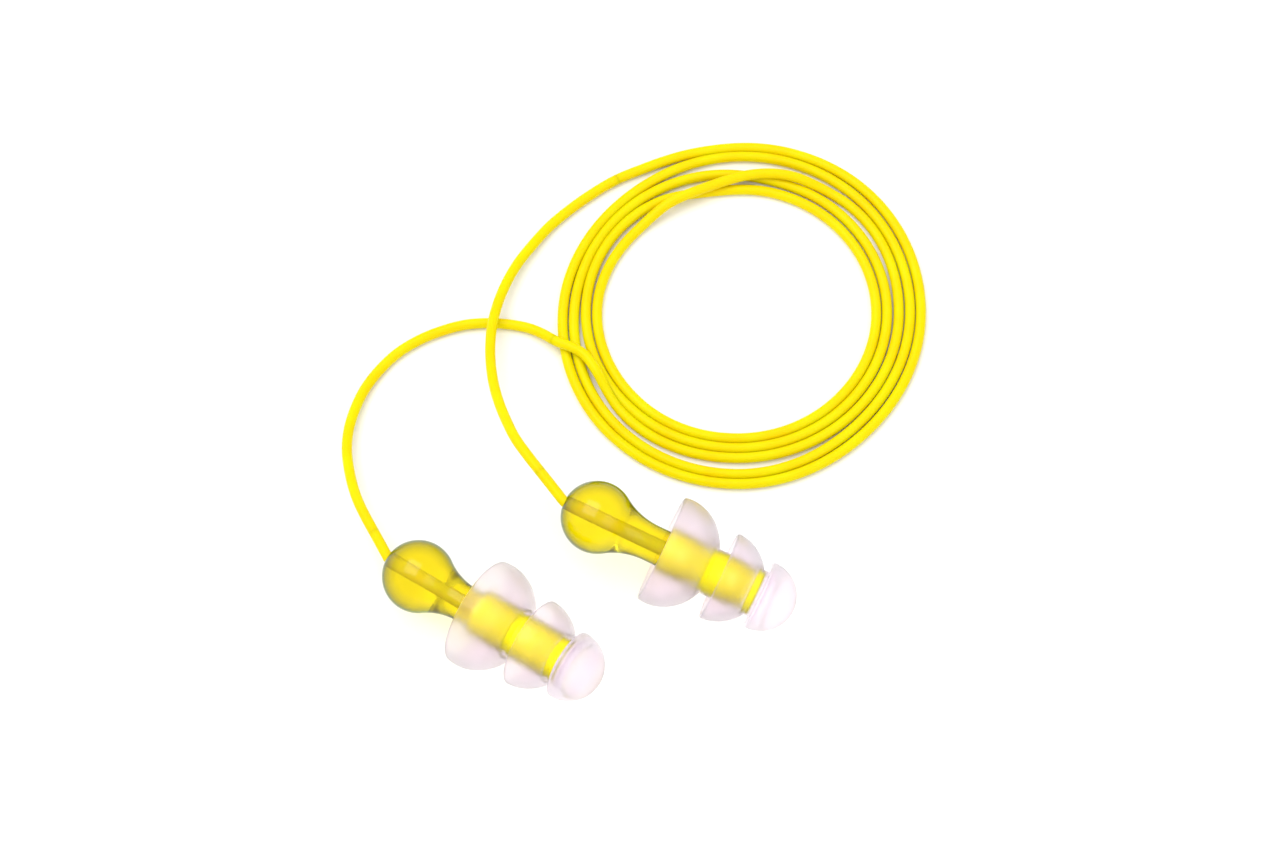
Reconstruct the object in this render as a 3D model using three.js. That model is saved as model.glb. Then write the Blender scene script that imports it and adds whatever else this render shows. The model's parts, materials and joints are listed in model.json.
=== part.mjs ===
// A pair of reusable ear plugs on one cord: each plug is a clear grip moulding with a bulb to hold,
// its stem pushed into a soft sleeve with three flanges. The plugs lie on their flanges beside the
// cord, which is wound into a flat coil. Millimetres, +Z up, the lying surface is z = 0, and the
// origin is the middle of the two plugs' footprint.
import * as THREE from "three";

// Driving dimensions. Everything along a plug is measured from the cord's exit at the bulb's back.
const CORD_DIAMETER = 1.15;
const CORD_RADIUS = CORD_DIAMETER / 2;
const GAP = 0.3; // left between pieces that meet

const BULB_RADIUS = 3.93;
const BULB_ARC_END = 0.69 * Math.PI; // where the bulb's sphere turns into its shoulder
const STEM_RADIUS = 2;
const SHOULDER_END = 10.4; // where the shoulder has narrowed to the stem
const STEM_END = 22.6;
const CORD_BORE_RADIUS = CORD_RADIUS + GAP;
const CORD_BORE_DEPTH = 12;

const TUBE_RADIUS = 2.6; // the sleeve between its flanges
const TUBE_START = 11.8;
const SLEEVE_BORE_RADIUS = STEM_RADIUS + 0.25;
const SLEEVE_BORE_END = STEM_END + GAP;
// Each flange is half an ellipsoid that opens towards the bulb: where its rim is, its widest radius,
// how far ahead of the rim that is, how long it is from there, and its wall at the rim and the root.
const FLANGES = [
  { rim: 11.5, radius: 6.05, crown: 1.0, length: 5.2, rimWall: 0.5, rootWall: 0.9 },
  { rim: 18.3, radius: 4.97, crown: 0, length: 4.9, rimWall: 0.5, rootWall: 0.8 },
  { rim: 23.0, radius: 3.8, crown: 0.35, length: 3.8, rimWall: 0.6, rootWall: 2.2 },
];

// The coil is a flat ring of five strands side by side, and its centre is where the layout is measured from.
const COIL_MIDDLE_RADIUS = 17.55;
const COIL_WIDTH = 6;
const COIL_HEIGHT = 1.25;
const COIL_CHAMFER = 0.35;

// Where each plug's cord exit lies, which way its tip points and how far the tip is raised.
const [FIRST_FLANGE, SECOND_FLANGE] = FLANGES;
const RESTING_SLOPE = Math.atan2(
  FIRST_FLANGE.radius - SECOND_FLANGE.radius,
  SECOND_FLANGE.rim + SECOND_FLANGE.crown - FIRST_FLANGE.rim - FIRST_FLANGE.crown,
);
const PLUGS = {
  // the cord holds this one balanced on the rim of its largest flange
  left: { exit: [-38.25, -30.6], heading: -33.3, pitch: THREE.MathUtils.degToRad(6) },
  // this one rests on the rims of its two larger flanges
  right: { exit: [-19.47, -25.4], heading: -23.4, pitch: -RESTING_SLOPE },
};

// The uncoiled cord from the coil to the flexing tail behind each bulb. The right one passes over the left.
const ROUTES = {
  left: [
    [-20.9, -3.7, 1.5],
    [-22.1, -2.8, 1.1],
    [-23.6, -2.0, 0.75],
    [-25.6, -1.5, 0.6],
    [-28.0, -1.3, 0.585],
    [-30.7, -1.5, 0.585],
    [-33.2, -2.2, 0.585],
    [-35.7, -3.3, 0.585],
    [-38.1, -4.9, 0.6],
    [-40.1, -7.0, 0.65],
    [-41.6, -9.3, 0.85],
    [-42.6, -11.8, 1.15],
    [-43.2, -14.4, 1.55],
    [-43.3, -17.0, 2.05],
    [-42.95, -19.5, 2.6],
    [-42.4, -21.8, 3.15],
    [-41.9, -23.3, 3.5],
  ],
  right: [
    [-13.9, 16.35, 0.585],
    [-16.9, 14.4, 0.585],
    [-19.3, 12.5, 0.6],
    [-21.5, 10.4, 0.7],
    [-23.3, 8.1, 0.95],
    [-24.9, 5.7, 1.3],
    [-26.2, 3.0, 1.7],
    [-27.1, 0.3, 2.1],
    [-27.65, -2.5, 2.55],
    [-27.8, -5.2, 3.1],
    [-27.65, -7.9, 3.8],
    [-27.25, -10.5, 4.6],
    [-26.6, -13.0, 5.45],
    [-25.75, -15.4, 6.3],
    [-24.9, -17.4, 6.95],
  ],
};

const ROUND_SEGMENTS = 24;
const COIL_SEGMENTS = 48;
const CURVE_STEPS = 3;
const TUBE_SIDES = 8;
const ROUTE_STEPS = 22;

const cordMaterial = { color: 0xf6df08, roughness: 0.35, metalness: 0 };
const gripMaterial = { color: 0xeee30a, roughness: 0.12, metalness: 0, transparent: true, opacity: 0.75 };
const sleeveMaterial = { color: 0xf3ecf2, roughness: 0.45, metalness: 0, transparent: true, opacity: 0.5 };

function namedMesh(name, geometry, material) {
  const mesh = new THREE.Mesh(geometry, new THREE.MeshStandardMaterial(material));
  mesh.name = name;
  return mesh;
}

// A solid turned about the plug's axis. The path's x is the radius and its y the place along the plug.
function turned(path, segments = ROUND_SEGMENTS) {
  return new THREE.LatheGeometry(path.getPoints(CURVE_STEPS), segments).rotateZ(-Math.PI / 2);
}

// The grip moulding: bulb, shoulder and stem in one, with the blind bore that holds the cord.
function gripGeometry() {
  const path = new THREE.Path();
  const mouth = Math.asin(CORD_BORE_RADIUS / BULB_RADIUS);
  path.moveTo(0, CORD_BORE_DEPTH);
  path.lineTo(CORD_BORE_RADIUS, CORD_BORE_DEPTH);
  path.absarc(0, BULB_RADIUS, BULB_RADIUS, mouth - Math.PI / 2, BULB_ARC_END - Math.PI / 2, false);
  const arcEndRadius = BULB_RADIUS * Math.sin(BULB_ARC_END);
  const arcEnd = BULB_RADIUS * (1 - Math.cos(BULB_ARC_END));
  // the shoulder's handle is where the arc's tangent meets the stem
  const handle = arcEnd + (arcEndRadius - STEM_RADIUS) * Math.tan(Math.PI - BULB_ARC_END);
  path.quadraticCurveTo(STEM_RADIUS, handle, STEM_RADIUS, SHOULDER_END);
  path.lineTo(STEM_RADIUS, STEM_END);
  path.lineTo(0, STEM_END);
  return turned(path);
}

// One flange, from the tube inside its hollow, back to the rim and forward over its outside.
function addFlange(path, flange, tubeRadius) {
  const middle = flange.rim + flange.crown;
  const innerRadius = flange.radius - flange.rimWall;
  const innerLength = flange.length - flange.rootWall;
  const hollowRoot = Math.acos(TUBE_RADIUS / innerRadius);
  const hollowMouth = -Math.asin(flange.crown / innerLength);
  path.absellipse(0, middle, innerRadius, innerLength, hollowRoot, hollowMouth, true);
  const rimAngle = -Math.asin(flange.crown / flange.length);
  const rootAngle = Math.acos(tubeRadius / flange.radius);
  path.absellipse(0, middle, flange.radius, flange.length, rimAngle, rootAngle, false);
}

// The soft sleeve: a tube that fits over the stem, three flanges and a solid round tip, in one moulding.
function sleeveGeometry() {
  const path = new THREE.Path();
  path.moveTo(0, SLEEVE_BORE_END);
  path.lineTo(SLEEVE_BORE_RADIUS, SLEEVE_BORE_END);
  path.lineTo(SLEEVE_BORE_RADIUS, TUBE_START);
  path.lineTo(TUBE_RADIUS, TUBE_START);
  const tip = FLANGES.at(-1);
  for (const flange of FLANGES) {
    addFlange(path, flange, flange === tip ? 0 : TUBE_RADIUS);
  }
  return turned(path);
}

// The end of the cord that the grip's bore holds.
function cordCoreGeometry() {
  const length = CORD_BORE_DEPTH - GAP;
  const core = new THREE.CylinderGeometry(CORD_RADIUS, CORD_RADIUS, length, TUBE_SIDES);
  return core.rotateZ(-Math.PI / 2).translate(length / 2, 0, 0);
}

// A plug lying on the surface at its place, with the cord's exit at its own origin and its tip along +X.
function buildPlug(side, { exit, heading, pitch }) {
  const plug = new THREE.Group();
  plug.add(namedMesh(`grip_${side}`, gripGeometry(), gripMaterial));
  plug.add(namedMesh(`sleeve_${side}`, sleeveGeometry(), sleeveMaterial));
  plug.add(namedMesh(`cord_core_${side}`, cordCoreGeometry(), cordMaterial));
  plug.rotation.set(0, -pitch, THREE.MathUtils.degToRad(heading), "ZYX");
  plug.position.set(exit[0], exit[1], 0);
  plug.position.z = -new THREE.Box3().setFromObject(plug, true).min.z;
  return plug;
}

function cordSection() {
  const section = new THREE.Shape();
  section.absarc(0, 0, CORD_RADIUS, 0, 2 * Math.PI, false);
  return section;
}

// The uncoiled cord, a plain tube along its route.
function cordRunGeometry(route) {
  // a full circle takes twice its curve segments as sides
  const options = { extrudePath: route, steps: ROUTE_STEPS, curveSegments: TUBE_SIDES / 2, bevelEnabled: false };
  return new THREE.ExtrudeGeometry(cordSection(), options);
}

// The short stretch behind the bulb where the cord flexes: round ends let it turn at both of its pivots.
function buildCordTail(side, swingPivot, liftPivot) {
  const along = liftPivot.clone().sub(swingPivot);
  const capsule = new THREE.CapsuleGeometry(CORD_RADIUS, along.length(), 3, TUBE_SIDES);
  const tail = namedMesh(`cord_tail_${side}`, capsule, cordMaterial);
  tail.quaternion.setFromUnitVectors(new THREE.Vector3(0, 1, 0), along.clone().normalize());
  tail.position.copy(swingPivot).addScaledVector(along, 0.5);
  return tail;
}

// The cord from the coil to a plug: its run, then the tail from the run's end to just behind the bulb.
function buildCordRun(side, plug) {
  const route = new THREE.CatmullRomCurve3(ROUTES[side].map((point) => new THREE.Vector3(...point)));
  const reach = GAP + CORD_RADIUS;
  const swingPivot = route.getPoint(1).addScaledVector(route.getTangent(1), reach);
  const liftPivot = new THREE.Vector3(-reach, 0, 0).applyEuler(plug.rotation).add(plug.position);
  return [
    namedMesh(`cord_run_${side}`, cordRunGeometry(route), cordMaterial),
    buildCordTail(side, swingPivot, liftPivot),
  ];
}

// The outer shape of the wound cord: a flat ring with softened edges.
function coilGeometry() {
  const inner = COIL_MIDDLE_RADIUS - COIL_WIDTH / 2;
  const outer = COIL_MIDDLE_RADIUS + COIL_WIDTH / 2;
  const section = new THREE.Path();
  section.moveTo(inner + COIL_CHAMFER, 0);
  section.lineTo(outer - COIL_CHAMFER, 0);
  section.lineTo(outer, COIL_CHAMFER);
  section.lineTo(outer, COIL_HEIGHT - COIL_CHAMFER);
  section.lineTo(outer - COIL_CHAMFER, COIL_HEIGHT);
  section.lineTo(inner + COIL_CHAMFER, COIL_HEIGHT);
  section.lineTo(inner, COIL_HEIGHT - COIL_CHAMFER);
  section.lineTo(inner, COIL_CHAMFER);
  section.closePath();
  return new THREE.LatheGeometry(section.getPoints(), COIL_SEGMENTS).rotateX(Math.PI / 2);
}

function buildEarPlugs() {
  const layout = new THREE.Group();
  const plugs = new THREE.Group();
  layout.add(plugs);
  layout.add(namedMesh("cord_coil", coilGeometry(), cordMaterial));
  for (const [side, place] of Object.entries(PLUGS)) {
    const plug = buildPlug(side, place);
    plugs.add(plug);
    layout.add(...buildCordRun(side, plug));
  }
  // the origin goes to the middle of the plugs' footprint
  const footprint = new THREE.Box3().setFromObject(plugs, true).getCenter(new THREE.Vector3());
  layout.position.set(-footprint.x, -footprint.y, 0);
  return layout;
}

const earPlugs = new THREE.Group();
earPlugs.add(buildEarPlugs());

export default earPlugs;
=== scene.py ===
"""The looks of a pair of corded three-flange ear plugs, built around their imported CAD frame.

One thin vinyl cord joins the two plugs and lies beside them, wound into a flat coil. Each plug is a
clear yellow grip moulding, held by its bulb, with a soft milky sleeve of three flanges on its stem.
Everything is in metres, +Z up, on the surface z = 0 that the plugs lie on.
"""

import json
import logging
import math
from dataclasses import dataclass, field
from enum import Enum
from typing import Any

import bmesh
import bpy
import numpy as np
from mathutils import Matrix, Vector


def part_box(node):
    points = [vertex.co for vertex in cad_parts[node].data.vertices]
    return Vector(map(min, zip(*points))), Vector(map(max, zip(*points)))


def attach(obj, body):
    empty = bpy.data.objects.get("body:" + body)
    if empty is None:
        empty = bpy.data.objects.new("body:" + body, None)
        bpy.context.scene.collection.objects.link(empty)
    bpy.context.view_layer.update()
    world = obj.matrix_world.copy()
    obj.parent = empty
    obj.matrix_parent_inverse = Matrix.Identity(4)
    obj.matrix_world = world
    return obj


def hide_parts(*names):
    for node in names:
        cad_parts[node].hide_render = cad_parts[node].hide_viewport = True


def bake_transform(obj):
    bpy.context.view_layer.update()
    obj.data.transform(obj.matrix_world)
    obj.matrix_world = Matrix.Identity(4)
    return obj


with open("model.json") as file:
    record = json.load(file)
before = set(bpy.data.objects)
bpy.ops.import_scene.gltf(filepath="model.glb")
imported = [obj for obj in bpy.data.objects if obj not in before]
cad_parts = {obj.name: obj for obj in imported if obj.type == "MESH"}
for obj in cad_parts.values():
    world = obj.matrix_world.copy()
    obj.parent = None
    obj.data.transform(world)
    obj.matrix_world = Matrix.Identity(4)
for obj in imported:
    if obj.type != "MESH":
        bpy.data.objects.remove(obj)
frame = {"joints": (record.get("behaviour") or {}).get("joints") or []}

LOG = logging.getLogger("ear_plugs")
MM = 0.001
FULL_TURN = 2 * math.pi
QUARTER_TURN = math.pi / 2
MERGE_DISTANCE = 1e-7
# the material slots of a plug's two mouldings: the outside comes first
OUTSIDE, BORE_WALL, COVERED_STEM = 0, 1, 2


class Side(Enum):
    """The two plugs, by where they lie."""

    LEFT = "left"
    RIGHT = "right"


# ---------------------------------------------------------------- shaders


class Wire:
    """An output socket that Python's arithmetic works on: each operator adds its Math node."""

    def __init__(self, graph: "ShaderGraph", socket: bpy.types.NodeSocket) -> None:
        """Holds a socket and the graph that it belongs to."""
        self.graph = graph
        self.socket = socket

    def math(self, operation: str, *values: Any, clamp: bool = False) -> "Wire":
        """Adds one Math node.

        Args:
            operation: the Math node's operation.
            values: its operands, wires or numbers, in order.
            clamp: whether the result is kept between 0 and 1.

        Returns:
            The node's result.
        """
        settings = {"operation": operation, "use_clamp": clamp}
        node = self.graph.add("ShaderNodeMath", settings, dict(enumerate(values)))
        return self.graph.wire(node, "Value")

    def __add__(self, other: Any) -> "Wire":
        """Returns self + other."""
        return self.math("ADD", self, other)

    def __radd__(self, other: Any) -> "Wire":
        """Returns other + self."""
        return self.math("ADD", other, self)

    def __sub__(self, other: Any) -> "Wire":
        """Returns self - other."""
        return self.math("SUBTRACT", self, other)

    def __rsub__(self, other: Any) -> "Wire":
        """Returns other - self."""
        return self.math("SUBTRACT", other, self)

    def __mul__(self, other: Any) -> "Wire":
        """Returns self * other."""
        return self.math("MULTIPLY", self, other)

    def __rmul__(self, other: Any) -> "Wire":
        """Returns other * self."""
        return self.math("MULTIPLY", other, self)

    def clamped(self) -> "Wire":
        """Returns the value kept between 0 and 1."""
        return self.math("ADD", self, 0.0, clamp=True)


class ShaderGraph:
    """A new material and the short expressions that build its nodes."""

    def __init__(self, name: str) -> None:
        """Starts an empty material.

        Args:
            name: the material's name.
        """
        self.material = bpy.data.materials.new(name)
        self.material.use_nodes = True
        self.tree = self.material.node_tree
        self.tree.nodes.clear()

    def add(
        self, kind: str, settings: dict | None = None, sockets: dict | None = None
    ) -> bpy.types.Node:
        """Adds any node.

        Args:
            kind: the node's type.
            settings: its own settings, such as an operation, which are set first.
            sockets: values or links for its inputs, by name or index.

        Returns:
            The node.
        """
        node = self.tree.nodes.new(kind)
        for name, value in (settings or {}).items():
            setattr(node, name, value)
        for key, value in (sockets or {}).items():
            if isinstance(value, Wire):
                self.tree.links.new(value.socket, node.inputs[key])
            else:
                node.inputs[key].default_value = value
        return node

    def wire(self, node: bpy.types.Node, output: str) -> Wire:
        """Returns a node's output, ready for arithmetic."""
        return Wire(self, node.outputs[output])

    def object_place(self) -> Wire:
        """Returns the point's place in the row frame, which every finished piece shares."""
        return self.wire(self.add("ShaderNodeTexCoord"), "Object")

    def attribute(self, name: str) -> Wire:
        """Returns a mesh attribute as a vector."""
        return self.wire(self.add("ShaderNodeAttribute", {"attribute_name": name}), "Vector")

    def stretched(self, vector: Wire, by: tuple[float, float, float]) -> Wire:
        """Returns a vector with each of its parts multiplied."""
        node = self.add("ShaderNodeVectorMath", {"operation": "MULTIPLY"}, {0: vector, 1: by})
        return self.wire(node, "Vector")

    def noise(self, at: Wire, scale: float, detail: float = 2.0, roughness: float = 0.5) -> Wire:
        """Returns soft noise from 0 to 1 at a point.

        Args:
            at: the point.
            scale: how many features fit in a metre.
            detail: how many finer layers are added.
            roughness: how strong the finer layers are.
        """
        sockets = {"Vector": at, "Scale": scale, "Detail": detail, "Roughness": roughness}
        return self.wire(self.add("ShaderNodeTexNoise", None, sockets), "Fac")

    def blend(self, factor: Wire, first: tuple | Wire, second: tuple) -> Wire:
        """Returns a colour between two others.

        Args:
            factor: 0 for the first and 1 for the second.
            first: a colour, with its alpha or from a wire.
            second: another colour.
        """
        settings = {"data_type": "RGBA"}
        node = self.add("ShaderNodeMix", settings, {"Factor": factor, 6: first, 7: second})
        return Wire(self, node.outputs[2])

    def bump(self, height: Wire, distance: float, strength: float = 1.0) -> Wire:
        """Returns a normal that follows a height.

        Args:
            height: the height, about 0 to 1.
            distance: how deep a height of 1 is, in metres.
            strength: how much of it shows.
        """
        sockets = {"Height": height, "Distance": distance, "Strength": strength}
        return self.wire(self.add("ShaderNodeBump", None, sockets), "Normal")

    def lamps_through(self, surface: Wire, tint: tuple) -> Wire:
        """Returns a clear surface that lets lamplight reach what is behind it.

        Args:
            surface: the shader of the surface.
            tint: the colour that the light takes on its way.
        """
        clear = self.wire(self.add("ShaderNodeBsdfTransparent", None, {"Color": tint}), "BSDF")
        shadow = self.wire(self.add("ShaderNodeLightPath"), "Is Shadow Ray")
        mixed = self.add("ShaderNodeMixShader", None, {0: shadow, 1: surface, 2: clear})
        return self.wire(mixed, "Shader")

    def finish(self, surface: Wire) -> bpy.types.Material:
        """Connects the output and returns the material."""
        self.add("ShaderNodeOutputMaterial", None, {"Surface": surface})
        return self.material


@dataclass(frozen=True)
class CordVinyl:
    """Glossy soft vinyl: two close yellows in drifts, and faint lines along the cord from its die."""

    lemon: tuple = (0.78, 0.7, 0.0005, 1.0)
    warm: tuple = (0.83, 0.63, 0.0005, 1.0)
    drift_scale: float = 260.0
    drift_contrast: float = 2.4
    grain_scale: float = 2340.0
    grain_gloss: float = 0.16
    line_scale: float = 5200.0
    line_stretch: float = 0.012
    line_depth: float = 0.012 * MM
    line_gloss: float = 0.1
    roughness: float = 0.34
    glow: float = 0.5
    glow_depth: float = 1.2 * MM
    glow_reach: tuple = (1.0, 0.75, 0.1)
    specular: float = 0.08
    ior: float = 1.5
    attribute: str = "lay"

    def material(self) -> bpy.types.Material:
        """Returns the cord's material."""
        graph = ShaderGraph("cord_vinyl")
        place = graph.object_place()
        lay = graph.attribute(self.attribute)
        along = graph.stretched(lay, (1.0, 1.0, self.line_stretch))
        lines = graph.noise(along, self.line_scale, detail=1.0)
        drift = graph.noise(place, self.drift_scale, detail=2.0)
        cloud = ((drift - 0.5) * self.drift_contrast + 0.5).clamped()
        grain = graph.noise(place, self.grain_scale, detail=2.0)
        colour = graph.blend(cloud, self.lemon, self.warm)
        gloss = self.roughness + (grain - 0.5) * self.grain_gloss + (lines - 0.5) * self.line_gloss
        sockets = {
            "Base Color": colour,
            "Roughness": gloss,
            "IOR": self.ior,
            "Specular IOR Level": self.specular,
            "Subsurface Weight": self.glow,
            "Subsurface Radius": self.glow_reach,
            "Subsurface Scale": self.glow_depth,
            "Normal": graph.bump(lines, self.line_depth),
        }
        vinyl = graph.add("ShaderNodeBsdfPrincipled", None, sockets)
        return graph.finish(graph.wire(vinyl, "BSDF"))


@dataclass(frozen=True)
class GripPolymer:
    """The grip's clear yellow moulding: polished, with a slow swirl in its colour and faint wear, and a
    painted shade that darkens its outline where the surface turns away.
    """

    name: str = "grip_polymer"
    tint: tuple = (0.98, 0.8, 0.001, 1.0)
    deep: tuple = (0.93, 0.77, 0.001, 1.0)
    # rim is painted shade: the dark green that the moulding's outline is blended to where it turns away
    # from the view
    rim: tuple = (0.03, 0.075, 0.001, 1.0)
    passing: tuple = (1.0, 0.99, 0.93, 1.0)
    swirl_scale: float = 210.0
    swirl_depth: float = 0.04 * MM
    wear_scale: float = 2520.0
    wear_gloss: float = 0.06
    roughness: float = 0.08
    ior: float = 1.38
    transmission: float = 0.86
    specular: float = 0.04
    painted_shade_start: float = 0.18
    painted_shade_rise: float = 1.9

    def material(self) -> bpy.types.Material:
        """Returns the grip's material."""
        graph = ShaderGraph(self.name)
        place = graph.object_place()
        swirl = graph.noise(place, self.swirl_scale, detail=2.0)
        wear = graph.noise(place, self.wear_scale, detail=3.0)
        # painted shade: the colour darkens towards rim as the surface turns away from the view,
        # darkening the outline
        facing = graph.wire(graph.add("ShaderNodeLayerWeight", None, {"Blend": 0.5}), "Facing")
        edge = ((facing - self.painted_shade_start) * self.painted_shade_rise).clamped()
        through = graph.blend(swirl, self.tint, self.deep)
        sockets = {
            "Base Color": graph.blend(edge, through, self.rim),
            "Roughness": self.roughness + (wear - 0.5) * self.wear_gloss,
            "IOR": self.ior,
            "Specular IOR Level": self.specular,
            "Transmission Weight": self.transmission,
            "Normal": graph.bump(swirl, self.swirl_depth),
        }
        polymer = graph.add("ShaderNodeBsdfPrincipled", None, sockets)
        return graph.finish(graph.lamps_through(graph.wire(polymer, "BSDF"), self.passing))


@dataclass(frozen=True)
class SleeveElastomer:
    """The sleeves' milky clear soft elastomer: satin skin, faintly pink, clouded unevenly."""

    clear: tuple = (0.955, 0.895, 0.945, 1.0)
    milky: tuple = (0.91, 0.845, 0.91, 1.0)
    passing: tuple = (1.0, 0.99, 1.0, 1.0)
    cloud_scale: float = 420.0
    cloud_gloss: float = 0.16
    skin_scale: float = 2940.0
    skin_depth: float = 0.02 * MM
    roughness: float = 0.34
    ior: float = 1.3
    transmission: float = 0.99

    def material(self) -> bpy.types.Material:
        """Returns the sleeve's material."""
        graph = ShaderGraph("sleeve_elastomer")
        place = graph.object_place()
        cloud = graph.noise(place, self.cloud_scale, detail=3.0)
        skin = graph.noise(place, self.skin_scale, detail=2.0)
        sockets = {
            "Base Color": graph.blend(cloud, self.clear, self.milky),
            "Roughness": self.roughness + (cloud - 0.5) * self.cloud_gloss,
            "IOR": self.ior,
            "Transmission Weight": self.transmission,
            "Normal": graph.bump(skin, self.skin_depth),
        }
        elastomer = graph.add("ShaderNodeBsdfPrincipled", None, sockets)
        return graph.finish(graph.lamps_through(graph.wire(elastomer, "BSDF"), self.passing))


@dataclass(frozen=True)
class WettedWall:
    """A wall that clings to what it holds, so light passes between the two as if they were one."""

    name: str = "wetted_wall"
    tint: tuple = (1.0, 1.0, 1.0, 1.0)

    def material(self) -> bpy.types.Material:
        """Returns the wall's material."""
        graph = ShaderGraph(self.name)
        clear = graph.add("ShaderNodeBsdfTransparent", None, {"Color": self.tint})
        return graph.finish(graph.wire(clear, "BSDF"))


@dataclass(frozen=True)
class PaleFloor:
    """The plain white surface that everything lies on."""

    colour: tuple = (0.93, 0.93, 0.93, 1.0)
    roughness: float = 0.7

    def material(self) -> bpy.types.Material:
        """Returns the floor's material."""
        graph = ShaderGraph("pale_floor")
        sockets = {"Base Color": self.colour, "Roughness": self.roughness}
        floor = graph.add("ShaderNodeBsdfPrincipled", None, sockets)
        return graph.finish(graph.wire(floor, "BSDF"))


# ---------------------------------------------------------------- shapes


def smooth_through(stations: np.ndarray, values: np.ndarray, at: np.ndarray) -> np.ndarray:
    """Reads a smooth curve that passes through given values.

    Args:
        stations: where the values are, in rising order.
        values: one row for each station.
        at: where the curve is read.

    Returns:
        One row for each place in at.
    """
    slopes = np.gradient(values, stations, axis=0)
    i = np.clip(np.searchsorted(stations, at, side="right") - 1, 0, len(stations) - 2)
    step = (stations[i + 1] - stations[i])[:, None]
    t = (at - stations[i])[:, None] / step
    ease = t * t * (3 - 2 * t)
    leave = t * (1 - t) ** 2
    arrive = t * t * (t - 1)
    lean = step * (slopes[i] * leave + slopes[i + 1] * arrive)
    return values[i] * (1 - ease) + values[i + 1] * ease + lean


def ramp(value: float, start: float, end: float) -> float:
    """Returns 0 before start, 1 after end, and an easy rise in between."""
    t = min(max((value - start) / (end - start), 0.0), 1.0)
    return t * t * (3 - 2 * t)


class Outline:
    """Half of a turned solid's section, drawn in its own plane: x along the axis, y away from it."""

    def __init__(self, x: float, y: float) -> None:
        """Starts the outline at a point."""
        self.points = [Vector((x, y, 0.0))]

    def line(self, x: float, y: float) -> "Outline":
        """Draws a straight line to a point."""
        self.points.append(Vector((x, y, 0.0)))
        return self

    def arc(
        self, x: float, length: float, radius: float, start: float, end: float, steps: int
    ) -> "Outline":
        """Draws part of an ellipse whose middle is on the axis.

        Args:
            x: where its middle is.
            length: its half-width along the axis.
            radius: its half-height.
            start: the first angle, 0 at the side and a quarter turn at the tip's end.
            end: the last angle.
            steps: how many pieces it is drawn in.

        Returns:
            The outline.
        """
        for i in range(steps + 1):
            angle = start + (end - start) * i / steps
            self._join(x + length * math.sin(angle), radius * math.cos(angle))
        return self

    def corner(
        self, centre: tuple[float, float], radius: float, start: float, end: float, steps: int
    ) -> "Outline":
        """Draws a rounded corner.

        Args:
            centre: the middle of its circle.
            radius: its radius.
            start: the first angle, measured from the axis direction.
            end: the last angle.
            steps: how many pieces it is drawn in.

        Returns:
            The outline.
        """
        for i in range(steps + 1):
            angle = start + (end - start) * i / steps
            self._join(centre[0] + radius * math.cos(angle), centre[1] + radius * math.sin(angle))
        return self

    def curve(self, handle: tuple[float, float], end: tuple[float, float], steps: int) -> "Outline":
        """Draws a quadratic curve.

        Args:
            handle: the point that it is pulled towards.
            end: where it ends.
            steps: how many pieces it is drawn in.

        Returns:
            The outline.
        """
        first = self.points[-1].copy()
        middle, last = Vector((*handle, 0.0)), Vector((*end, 0.0))
        for i in range(1, steps + 1):
            t = i / steps
            self.points.append(first * (1 - t) ** 2 + middle * (2 * t * (1 - t)) + last * t * t)
        return self

    def _join(self, x: float, y: float) -> None:
        """Adds a point unless the outline is already there."""
        point = Vector((x, y, 0.0))
        if (point - self.points[-1]).length > MERGE_DISTANCE:
            self.points.append(point)


def turned_solid(outline: Outline, segments: int) -> bmesh.types.BMesh:
    """Turns an outline about the x axis.

    Args:
        outline: the half section, from axis to axis or closed.
        segments: how many steps the full turn takes.

    Returns:
        The closed solid, facing out.
    """
    solid = bmesh.new()
    verts = [solid.verts.new(point) for point in outline.points]
    edges = [solid.edges.new(pair) for pair in zip(verts, verts[1:])]
    bmesh.ops.spin(
        solid,
        geom=verts + edges,
        cent=(0, 0, 0),
        axis=(1, 0, 0),
        angle=FULL_TURN,
        steps=segments,
        use_merge=True,
    )
    bmesh.ops.remove_doubles(solid, verts=solid.verts, dist=MERGE_DISTANCE)
    bmesh.ops.recalc_face_normals(solid, faces=solid.faces)
    return solid


def finished_piece(
    name: str, solid: bmesh.types.BMesh, materials: list[bpy.types.Material]
) -> bpy.types.Object:
    """Makes an object at the origin from a solid that is already in its place.

    Args:
        name: the piece's name.
        solid: the solid, which is freed.
        materials: its material slots.

    Returns:
        The object.
    """
    for face in solid.faces:
        face.smooth = True
    mesh = bpy.data.meshes.new(name)
    solid.to_mesh(mesh)
    solid.free()
    for material in materials:
        mesh.materials.append(material)
    piece = bpy.data.objects.new(name, mesh)
    bpy.context.scene.collection.objects.link(piece)
    LOG.info("%s: %d faces", name, len(mesh.polygons))
    return piece


def joint_of(side: Side, motion: str) -> dict:
    """Returns the frame's joint for one motion of a plug."""
    return next(j for j in frame["joints"] if j["name"] == f"{side.value}_{motion}")


def coil_middle() -> Vector:
    """Returns the middle of the coil, on the floor."""
    low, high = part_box("cord_coil")
    return Vector(((low.x + high.x) / 2, (low.y + high.y) / 2, 0.0))


# ---------------------------------------------------------------- the plugs


@dataclass(frozen=True)
class Flange:
    """Half an ellipsoid that opens towards the bulb, measured from the cord's exit."""

    rim: float
    radius: float
    crown: float
    length: float
    rim_wall: float
    root_wall: float

    @property
    def middle(self) -> float:
        """Where the flange is widest."""
        return self.rim + self.crown

    def outer_angle(self, radius: float) -> float:
        """Returns the angle at which the outside has narrowed to a radius."""
        return math.acos(radius / self.radius)

    def inner_angle(self, radius: float) -> float:
        """Returns the angle at which the hollow has narrowed to a radius."""
        return math.acos(radius / (self.radius - self.rim_wall))


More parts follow.
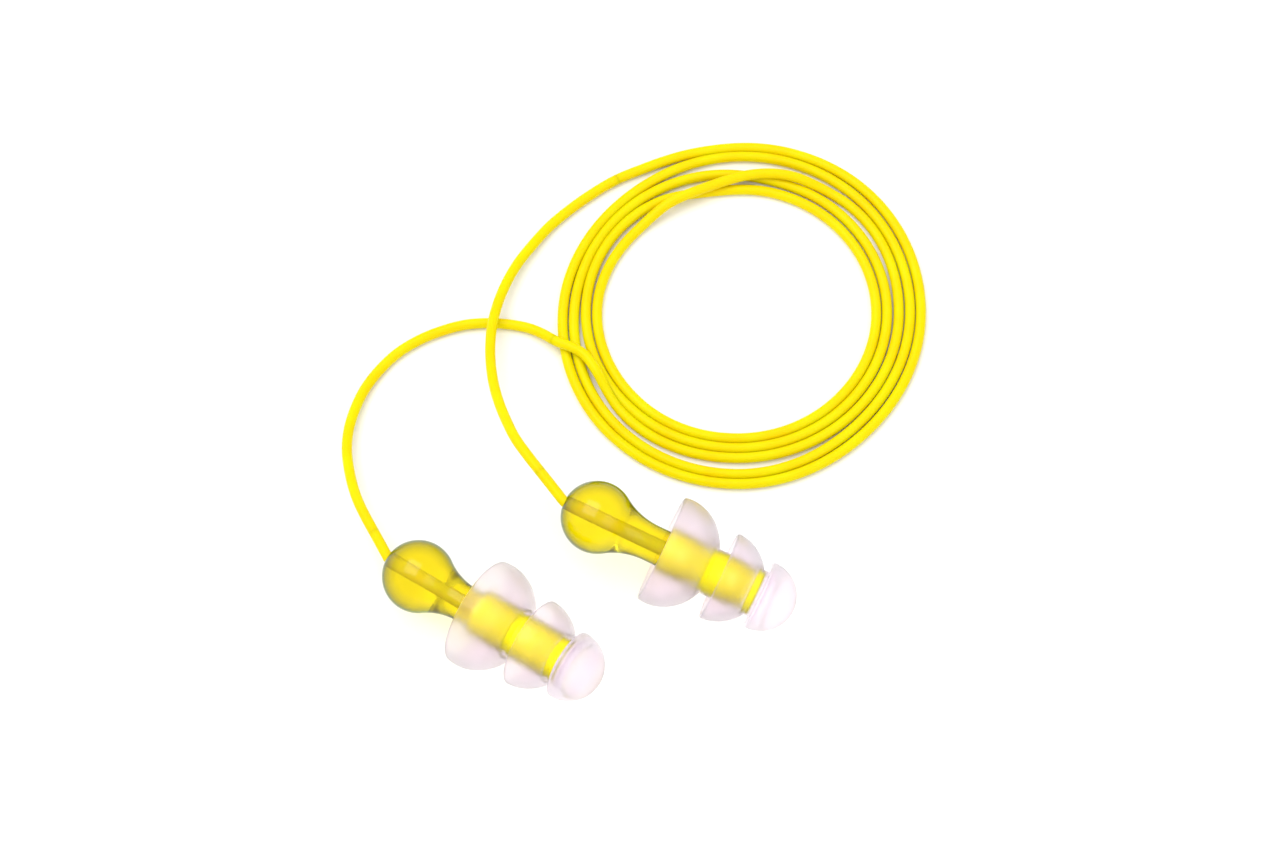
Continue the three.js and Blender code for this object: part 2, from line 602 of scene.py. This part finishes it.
@dataclass
class Plug:
    """One ear plug: its grip, its sleeve and how the two lie on their body."""

    side: Side
    pitch: float
    bulb_radius: float = 3.93 * MM
    bulb_arc_end: float = 0.69 * math.pi
    stem_radius: float = 2 * MM
    shoulder_end: float = 10.4 * MM
    stem_end: float = 22.6 * MM
    bore_radius: float = 0.595 * MM
    bore_depth: float = 12 * MM
    mouth_radius: float = 0.875 * MM
    tube_radius: float = 2.6 * MM
    tube_start: float = 11.8 * MM
    cling_gap: float = 0.01 * MM
    flanges: tuple[Flange, ...] = (
        Flange(11.5 * MM, 6.05 * MM, 1.0 * MM, 5.2 * MM, 0.5 * MM, 0.9 * MM),
        Flange(18.3 * MM, 4.97 * MM, 0.0, 4.9 * MM, 0.5 * MM, 0.8 * MM),
        Flange(23.0 * MM, 3.8 * MM, 0.35 * MM, 3.8 * MM, 0.6 * MM, 2.2 * MM),
    )
    mouth_blend: float = 0.45 * MM
    mouth_handle: float = 0.1 * MM
    stem_rounding: float = 0.3 * MM
    lip_rounding: float = 0.2 * MM
    wall_slack: float = 0.02 * MM
    segments: int = 96
    mouth_steps: int = 6
    bulb_steps: int = 48
    shoulder_steps: int = 16
    tube_rings: int = 12
    rounding_steps: int = 5
    lip_steps: int = 4
    hollow_steps: int = 20
    rim_steps: int = 8
    outside_steps: int = 28
    lift_reach: float = 0.875 * MM
    place: Matrix = field(init=False)
    pivot: Vector = field(init=False)
    axis: Vector = field(init=False)
    exit: Vector = field(init=False)

    def __post_init__(self) -> None:
        """Finds the plug's place from its lift joint, whose pivot is on its axis behind the exit."""
        joint = joint_of(self.side, "lift")
        self.pivot = Vector(joint["pos_m"])
        heading = math.atan2(joint["axis"][0], -joint["axis"][1])
        turn = Matrix.Rotation(heading, 4, "Z") @ Matrix.Rotation(-self.pitch, 4, "Y")
        self.axis = turn.to_3x3() @ Vector((1, 0, 0))
        self.exit = self.pivot + self.axis * self.lift_reach
        self.place = Matrix.Translation(self.exit) @ turn

    @property
    def body(self) -> str:
        """The CAD body that carries the plug."""
        return f"{self.side.value}_plug"

    def grip_outline(self) -> Outline:
        """Returns the bulb, shoulder and stem with the cord's bore down the middle."""
        mouth = math.asin(self.mouth_radius / self.bulb_radius)
        mouth_depth = self.bulb_radius * (1 - math.cos(mouth))
        outline = Outline(self.bore_depth, 0.0)
        outline.line(self.bore_depth, self.bore_radius)
        outline.line(mouth_depth + self.mouth_blend, self.bore_radius)
        mouth_handle = (mouth_depth + self.mouth_handle, self.bore_radius)
        outline.curve(mouth_handle, (mouth_depth, self.mouth_radius), self.mouth_steps)
        outline.arc(
            self.bulb_radius,
            self.bulb_radius,
            self.bulb_radius,
            mouth - QUARTER_TURN,
            self.bulb_arc_end - QUARTER_TURN,
            self.bulb_steps,
        )
        narrow = self.bulb_radius * math.sin(self.bulb_arc_end)
        arc_end = self.bulb_radius * (1 - math.cos(self.bulb_arc_end))
        slope = math.tan(math.pi - self.bulb_arc_end)
        handle = (arc_end + (narrow - self.stem_radius) * slope, self.stem_radius)
        outline.curve(handle, (self.shoulder_end, self.stem_radius), self.shoulder_steps)
        outline.line(self.tube_start, self.stem_radius)
        rounding = self.stem_rounding
        for x in np.linspace(self.tube_start, self.stem_end - rounding, self.tube_rings)[1:]:
            outline.line(x, self.stem_radius)
        centre = (self.stem_end - rounding, self.stem_radius - rounding)
        outline.corner(centre, rounding, QUARTER_TURN, 0.0, self.rounding_steps)
        return outline.line(self.stem_end, 0.0)

    def grip(self, materials: list[bpy.types.Material]) -> bpy.types.Object:
        """Builds the grip moulding.

        Args:
            materials: the clear polymer, the bore's wall, which tints the cord inside with painted
                shade, and where the sleeve clings to it a copy of the polymer painted brighter.

        Returns:
            The piece.
        """
        solid = turned_solid(self.grip_outline(), self.segments)
        self.mark_wall(solid, self.bore_radius, self.bore_depth)
        for face in solid.faces:
            covered = face.calc_center_median().x > self.tube_start
            if covered and face.material_index == OUTSIDE:
                face.material_index = COVERED_STEM
        solid.transform(self.place)
        piece = finished_piece(f"grip_moulding_{self.side.value}", solid, materials)
        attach(piece, self.body)
        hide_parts(f"grip_{self.side.value}")
        return piece

    def sleeve_outline(self) -> Outline:
        """Returns the tube round the stem, the three flanges and the solid round tip."""
        bore = self.stem_radius + self.cling_gap
        bore_end = self.stem_end + self.cling_gap
        rounding, lip = self.stem_rounding, self.lip_rounding
        outline = Outline(bore_end, 0.0)
        outline.line(bore_end, bore - rounding)
        centre = (bore_end - rounding, bore - rounding)
        outline.corner(centre, rounding, 0.0, QUARTER_TURN, self.rounding_steps)
        for x in np.linspace(bore_end - rounding, self.tube_start + lip, self.tube_rings)[1:]:
            outline.line(x, bore)
        outline.line(self.tube_start, bore + lip)
        outline.line(self.tube_start, self.tube_radius - lip)
        centre = (self.tube_start + lip, self.tube_radius - lip)
        outline.corner(centre, lip, math.pi, QUARTER_TURN, self.lip_steps)
        for flange in self.flanges:
            self._draw_flange(outline, flange, flange is self.flanges[-1])
        return outline

    def _draw_flange(self, outline: Outline, flange: Flange, is_tip: bool) -> None:
        """Draws one flange: back inside the hollow from its root, round the rim and forward outside.

        Args:
            outline: the outline so far, which ends where the hollow's root is.
            flange: the flange.
            is_tip: whether it is the last, which closes on the axis.
        """
        root = flange.inner_angle(self.tube_radius)
        hollow_length = flange.length - flange.root_wall
        hollow_radius = flange.radius - flange.rim_wall
        lip_radius = flange.rim_wall / 2
        hollow_mouth = -math.asin((flange.crown - lip_radius) / hollow_length)
        outline.arc(flange.middle, hollow_length, hollow_radius, root, hollow_mouth, self.hollow_steps)
        rim_angle = -math.asin((flange.crown - lip_radius) / flange.length)
        inner = outline.points[-1]
        outer_y = flange.radius * math.cos(rim_angle)
        centre = (inner.x, (inner.y + outer_y) / 2)
        rim_radius = (outer_y - inner.y) / 2
        outline.corner(centre, rim_radius, -QUARTER_TURN, -3 * QUARTER_TURN, self.rim_steps)
        end = QUARTER_TURN if is_tip else flange.outer_angle(self.tube_radius)
        outline.arc(flange.middle, flange.length, flange.radius, rim_angle, end, self.outside_steps)

    def sleeve(self, material: bpy.types.Material, wall: bpy.types.Material) -> bpy.types.Object:
        """Builds the sleeve.

        Args:
            material: the soft elastomer.
            wall: what its bore's wall is made of where it clings to the stem.

        Returns:
            The piece.
        """
        solid = turned_solid(self.sleeve_outline(), self.segments)
        self.mark_wall(solid, self.stem_radius + self.cling_gap, self.stem_end + self.cling_gap)
        solid.transform(self.place)
        piece = finished_piece(f"flange_sleeve_{self.side.value}", solid, [material, wall])
        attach(piece, self.body)
        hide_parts(f"sleeve_{self.side.value}")
        return piece

    def mark_wall(self, solid: bmesh.types.BMesh, radius: float, depth: float) -> None:
        """Gives the faces of a bore the wall's material slot.

        Args:
            solid: a solid turned about the x axis.
            radius: the bore's radius.
            depth: where the bore ends.
        """
        widest, deepest = radius + self.wall_slack, depth + self.wall_slack
        for face in solid.faces:
            if all(v.co.yz.length < widest and v.co.x < deepest for v in face.verts):
                face.material_index = BORE_WALL


# ---------------------------------------------------------------- the cord


@dataclass
class Cord:
    """The one cord: held in both grips, free behind them, and wound into a flat coil in its middle."""

    plugs: dict[Side, Plug]
    diameter: float = 1.15 * MM
    sides: int = 20
    ring_step: float = 0.5 * MM
    bore_fill: float = 11.7 * MM
    rest_height: float = 0.585 * MM
    swing_reach: float = 3.1 * MM
    lift_reach: float = 2.5 * MM
    coil_step: float = 7.5
    tail_shares: tuple = (0.25, 0.5, 0.75, 0.92)
    held_depths: tuple = (0.0, 0.9 * MM, 3 * MM, 7 * MM)
    # the coil's knots: first one that leads in, as degrees anticlockwise from the +X side and a
    # radius, then each turn's radius at its stations, which are degrees clockwise from the top,
    # and last those of the strand that leaves, like the first
    arrival: tuple = ((130.4, 21.46),)
    turn_stations: tuple = (-35, -15, 12, 35, 90, 135, 180, 225, 270)
    turns: tuple = (
        (21.0, 20.3, 20.4, 20.48, 19.85, 19.6, 20.4, 20.6, 19.9),
        (18.95, 19.1, 19.25, 19.22, 18.65, 18.35, 19.25, 19.45, 18.65),
        (17.75, 17.3, 16.55, 16.4, 16.1, 15.9, 16.2, 16.9, 17.35),
        (16.4, 15.25, 15.1, 15.05, 14.9, 14.75, 15.05, 15.75, 16.1),
        (15.2, 15.3, 16.9, 17.75, 17.4, 17.1, 17.35),
    )
    departure: tuple = (
        (225.0, 17.95),
        (207.0, 17.75),
        (203.0, 17.85),
        (199.5, 18.1),
        (196.5, 18.55),
        (193.8, 19.15),
        (191.8, 19.8),
        (190.5, 20.5),
        (190.04, 21.22),
    )
    # where the last turn rises over the others and falls again, and where it rises to leave and
    # settles a little, in degrees clockwise from the +X side within that turn
    hump_rise: tuple = (-140.0, -119.0)
    hump_fall: tuple = (-74.0, -55.0)
    leaving_rise: tuple = (142.0, 158.0)
    leaving_fall: tuple = (162.0, 170.0)
    leaving_drop: float = 0.2
    # the uncoiled stretches from the coil outwards, measured from the coil's middle
    routes: dict = field(
        default_factory=lambda: {
            Side.LEFT: (
                (-20.9, -3.7, 1.5),
                (-22.1, -2.8, 1.1),
                (-23.6, -2.0, 0.75),
                (-25.6, -1.5, 0.6),
                (-28.0, -1.3, 0.585),
                (-30.7, -1.5, 0.585),
                (-33.2, -2.2, 0.585),
                (-35.7, -3.3, 0.585),
                (-38.1, -4.9, 0.6),
                (-40.1, -7.0, 0.65),
                (-41.6, -9.3, 0.85),
                (-42.6, -11.8, 1.15),
                (-43.2, -14.4, 1.55),
                (-43.3, -17.0, 2.05),
                (-42.95, -19.5, 2.6),
                (-42.4, -21.8, 3.15),
                (-41.9, -23.3, 3.5),
            ),
            Side.RIGHT: (
                (-13.9, 16.35, 0.585),
                (-16.9, 14.4, 0.585),
                (-19.3, 12.5, 0.6),
                (-21.5, 10.4, 0.7),
                (-23.3, 8.1, 0.95),
                (-24.9, 5.7, 1.3),
                (-26.2, 3.0, 1.7),
                (-27.1, 0.3, 2.1),
                (-27.65, -2.5, 2.55),
                (-27.8, -5.2, 3.1),
                (-27.65, -7.9, 3.8),
                (-27.25, -10.5, 4.6),
                (-26.6, -13.0, 5.45),
                (-25.75, -15.4, 6.3),
                (-24.9, -17.4, 6.95),
            ),
        }
    )

    def __post_init__(self) -> None:
        """Finds the coil's middle and lays the whole cord as one line."""
        self.middle = coil_middle()
        self.pivots = {side: Vector(joint_of(side, "swing")["pos_m"]) for side in Side}
        self._lay()

    def _coil(self) -> list[Vector]:
        """Returns the wound stretch: turns side by side, the last of which crosses over and leaves."""
        knots = [(-angle, radius) for angle, radius in self.arrival]
        for number, radii in enumerate(self.turns):
            start = 360.0 * number - 90.0
            knots += [(start + station, radius) for station, radius in zip(self.turn_stations, radii)]
        knots += [(360.0 * len(self.turns) - angle, radius) for angle, radius in self.departure]
        wound, radii = np.array(knots).T
        last = 360.0 * (len(self.turns) - 1)
        at = np.linspace(wound[0], wound[-1], 1 + round((wound[-1] - wound[0]) / self.coil_step))
        points = []
        for angle, radius in zip(at, smooth_through(wound, radii[:, None], at)[:, 0]):
            over = self.diameter * self._crossing(angle - last)
            turn = math.radians(-angle)
            flat = Vector((math.cos(turn), math.sin(turn), 0)) * radius * MM
            points.append(self.middle + flat + Vector((0, 0, self.rest_height + over)))
        return points

    def _crossing(self, angle: float) -> float:
        """Returns how far the last turn is raised at an angle.

        Args:
            angle: degrees clockwise from the +X side, within that turn.

        Returns:
            The height, in diameters.
        """
        hump = ramp(angle, *self.hump_rise) - ramp(angle, *self.hump_fall)
        drop = self.leaving_drop * ramp(angle, *self.leaving_fall)
        return hump + (ramp(angle, *self.leaving_rise) - drop)

    def _tail(self, side: Side) -> list[Vector]:
        """Returns the stretch from a run's end to the end of the plug's bore."""
        plug = self.plugs[side]
        swing = self.pivots[side]
        along = plug.exit - swing
        free = [swing + along * share for share in self.tail_shares]
        held = [plug.exit + plug.axis * depth for depth in (*self.held_depths, self.bore_fill)]
        return [*free, *held]

    def _lay(self) -> None:
        """Joins the stretches into one smooth line, and finds its rings and where the pieces meet."""
        stretches = {}
        for side in Side:
            run = [self.middle + Vector(point) * MM for point in self.routes[side]]
            stretches[side] = [*run, *self._tail(side)]
        right = stretches[Side.RIGHT][::-1]
        coil = self._coil()[1:-1]
        line = np.array([*right, *coil, *stretches[Side.LEFT]])
        station = np.concatenate([[0.0], np.cumsum(np.linalg.norm(np.diff(line, axis=0), axis=1))])
        # from the bore's end back to the second point of the free stretch, where two pieces meet
        held = len(self._tail(Side.LEFT)) - 2
        seams = [0, held, len(right) - 1, len(right) + len(coil), len(line) - 1 - held, len(line) - 1]
        rings, self.seams = [], [0]
        for start, end in zip(seams, seams[1:]):
            count = round((station[end] - station[start]) / self.ring_step)
            rings.append(np.linspace(station[start], station[end], count, endpoint=False))
            self.seams.append(self.seams[-1] + count)
        self.stations = np.append(np.concatenate(rings), station[-1])
        self.line = smooth_through(station, line, self.stations)
        self.frames = self._frames()

    def _frames(self) -> list[Matrix]:
        """Returns each ring's place and turn, carried along the line without twisting."""
        ahead = np.gradient(self.line, axis=0)
        turn = Vector(ahead[0]).to_track_quat("Z", "Y")
        frames = []
        for point, way in zip(self.line, ahead):
            turn = (turn @ Vector((0, 0, 1))).rotation_difference(Vector(way)) @ turn
            frames.append(Matrix.Translation(Vector(point)) @ turn.to_matrix().to_4x4())
        return frames

    def section(
        self, name: str, first: int, last: int, material: bpy.types.Material
    ) -> bpy.types.Object:
        """Builds one stretch of the cord as a closed tube.

        Args:
            name: the piece's name.
            first: the ring it starts at.
            last: the ring it ends at.
            material: the vinyl.

        Returns:
            The piece.
        """
        tube = bmesh.new()
        lay = tube.verts.layers.float_vector.new(CordVinyl.attribute)
        radius = self.diameter / 2
        circle = bmesh.ops.create_circle(
            tube, segments=self.sides, radius=radius, matrix=self.frames[first], cap_ends=True
        )
        ring = circle["verts"]
        back = self.frames[first].inverted()
        for vert in ring:
            vert[lay] = (back @ vert.co).xy.to_3d()
        edges = list(dict.fromkeys(edge for vert in ring for edge in vert.link_edges))
        for index in range(first, last + 1):
            if index > first:
                made = bmesh.ops.extrude_edge_only(tube, edges=edges)["geom"]
                ring = [x for x in made if isinstance(x, bmesh.types.BMVert)]
                edges = [x for x in made if isinstance(x, bmesh.types.BMEdge)]
                step = self.frames[index] @ self.frames[index - 1].inverted()
                bmesh.ops.transform(tube, matrix=step, verts=ring)
            for vert in ring:
                vert[lay].z = self.stations[index]
        bmesh.ops.contextual_create(tube, geom=edges)
        bmesh.ops.recalc_face_normals(tube, faces=tube.faces)
        for face in tube.faces:
            if len(face.verts) == self.sides:
                for edge in face.edges:
                    edge.smooth = False
        return finished_piece(name, tube, [material])

    def length(self, first: int, last: int) -> float:
        """Returns the real length between two rings."""
        return float(np.linalg.norm(np.diff(self.line[first : last + 1], axis=0), axis=1).sum())

    def build(self, material: bpy.types.Material) -> None:
        """Builds the cord's five pieces, hangs the wound one on the root body and hides the CAD parts
        that they replace.

        Args:
            material: the vinyl.
        """
        right_end, right_seam, coil_start, coil_end, left_seam, left_end = self.seams
        wound = self.section("wound_cord", coil_start, coil_end, material)
        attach(wound, "root")
        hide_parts("cord_coil")
        self.length(coil_start, coil_end)
        self._free_and_held(Side.RIGHT, (right_end, right_seam, coil_start), material)
        self._free_and_held(Side.LEFT, (coil_end, left_seam, left_end), material)

    def _free_and_held(
        self, side: Side, rings: tuple[int, int, int], material: bpy.types.Material
    ) -> None:
        """Builds the run to one plug and the end that its grip holds.

        Args:
            side: the plug.
            rings: the first ring, the one where the two pieces meet, and the last.
            material: the vinyl.
        """
        tail, start, end = f"{side.value}_tail", rings[:2], rings[1:]
        held_rings, free_rings = (start, end) if side is Side.RIGHT else (end, start)
        held = self.section(f"held_cord_{side.value}", *held_rings, material)
        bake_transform(held)
        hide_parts(f"cord_core_{side.value}")
        free = self.section(f"free_cord_{side.value}", *free_rings, material)
        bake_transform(free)
        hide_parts(f"cord_run_{side.value}", f"cord_tail_{side.value}")
        self.length(*free_rings)
        self.line[free_rings[0] : free_rings[1] + 1]


# ---------------------------------------------------------------- the studio


@dataclass(frozen=True)
class Softbox:
    """A square soft light that shines at the middle of the floor."""

    name: str
    place: tuple[float, float, float]
    size: float
    power: float

    def hang(self) -> None:
        """Adds the light."""
        place = Vector(self.place)
        data = bpy.data.lights.new(self.name, "AREA")
        data.shape = "SQUARE"
        data.size = self.size
        data.energy = self.power
        light = bpy.data.objects.new(self.name, data)
        light.location = place
        light.rotation_mode = "QUATERNION"
        light.rotation_quaternion = place.to_track_quat("Z", "Y")
        bpy.context.scene.collection.objects.link(light)


@dataclass
class Studio:
    """A pale floor, soft light from above and a camera that looks steeply down."""

    target: Vector = field(default_factory=lambda: Vector((-12.0, -12.95, 0.0)) * MM)
    elevation: float = math.radians(68.0)
    distance: float = 0.42
    sensor: float = 36.0
    lens: float = 108.5
    floor_size: float = 1.6
    nearest: float = 0.01
    farthest: float = 10.0
    sky: float = 0.8
    sky_colour: tuple = (1.0, 1.0, 1.0, 1.0)
    softboxes: tuple[Softbox, ...] = (
        Softbox("key", (-0.25, 0.15, 0.8), size=0.7, power=4.5),
        Softbox("fill", (0.5, -0.4, 0.6), size=0.5, power=1.0),
    )

    def camera(self) -> None:
        """Sets the camera, aimed beside the coil's middle."""
        back = Vector((0, -math.cos(self.elevation), math.sin(self.elevation)))
        data = bpy.data.cameras.new("camera")
        data.sensor_width = self.sensor
        data.lens = self.lens
        data.clip_start = self.nearest
        data.clip_end = self.farthest
        camera = bpy.data.objects.new("camera", data)
        camera.location = coil_middle() + self.target + back * self.distance
        camera.rotation_mode = "QUATERNION"
        camera.rotation_quaternion = (-back).to_track_quat("-Z", "Y")
        bpy.context.scene.collection.objects.link(camera)
        bpy.context.scene.camera = camera

    def floor(self) -> None:
        """Lays the floor."""
        plane = bmesh.new()
        bmesh.ops.create_grid(plane, x_segments=1, y_segments=1, size=self.floor_size / 2)
        piece = finished_piece("floor", plane, [PaleFloor().material()])

    def light(self) -> None:
        """Lights the scene evenly, a little stronger from above on the left."""
        world = bpy.data.worlds.new("studio")
        world.use_nodes = True
        background = world.node_tree.nodes["Background"]
        background.inputs["Color"].default_value = self.sky_colour
        background.inputs["Strength"].default_value = self.sky
        bpy.context.scene.world = world
        for softbox in self.softboxes:
            softbox.hang()
        bpy.context.scene.view_settings.view_transform = "Standard"


def main() -> None:
    """Builds every piece, in the studio."""
    logging.basicConfig(level=logging.INFO, format="%(name)s: %(message)s")
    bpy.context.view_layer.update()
    studio = Studio()
    studio.camera()
    first, second, _ = Plug.flanges
    resting_slope = math.atan2(first.radius - second.radius, second.middle - first.middle)
    plugs = {
        Side.LEFT: Plug(Side.LEFT, pitch=math.radians(6.0)),
        Side.RIGHT: Plug(Side.RIGHT, pitch=-resting_slope),
    }
    cord = Cord(plugs)
    cord.build(CordVinyl().material())
    LOG.info("cord: %.3f m from end to end", cord.length(0, len(cord.line) - 1))
    wall, elastomer = WettedWall().material(), SleeveElastomer().material()
    # painted shade: the bore's wall is tinted so the cord held in the grip shows dimmer and more olive
    # through the clear bulb
    bore_wall = WettedWall(name="cord_bore_wall_painted_shade", tint=(0.84, 0.86, 0.5, 1.0))
    # painted light: an opaque copy of the grip polymer, painted brighter where it lies under the sleeve
    # to make up for the light that the sleeve takes; its rim is a milder painted shade along the
    # outline
    stem = GripPolymer(
        name="grip_polymer_stem_painted_bright",
        tint=(1.0, 0.93, 0.001, 1.0),
        deep=(0.97, 0.88, 0.001, 1.0),
        rim=(0.7, 0.66, 0.001, 1.0),
        transmission=0.0,
    )
    grip_materials = [GripPolymer().material(), bore_wall.material(), stem.material()]
    for plug in plugs.values():
        plug.grip(grip_materials)
        plug.sleeve(elastomer, wall)
    studio.floor()
    studio.light()


if __name__ == "__main__":
    main()
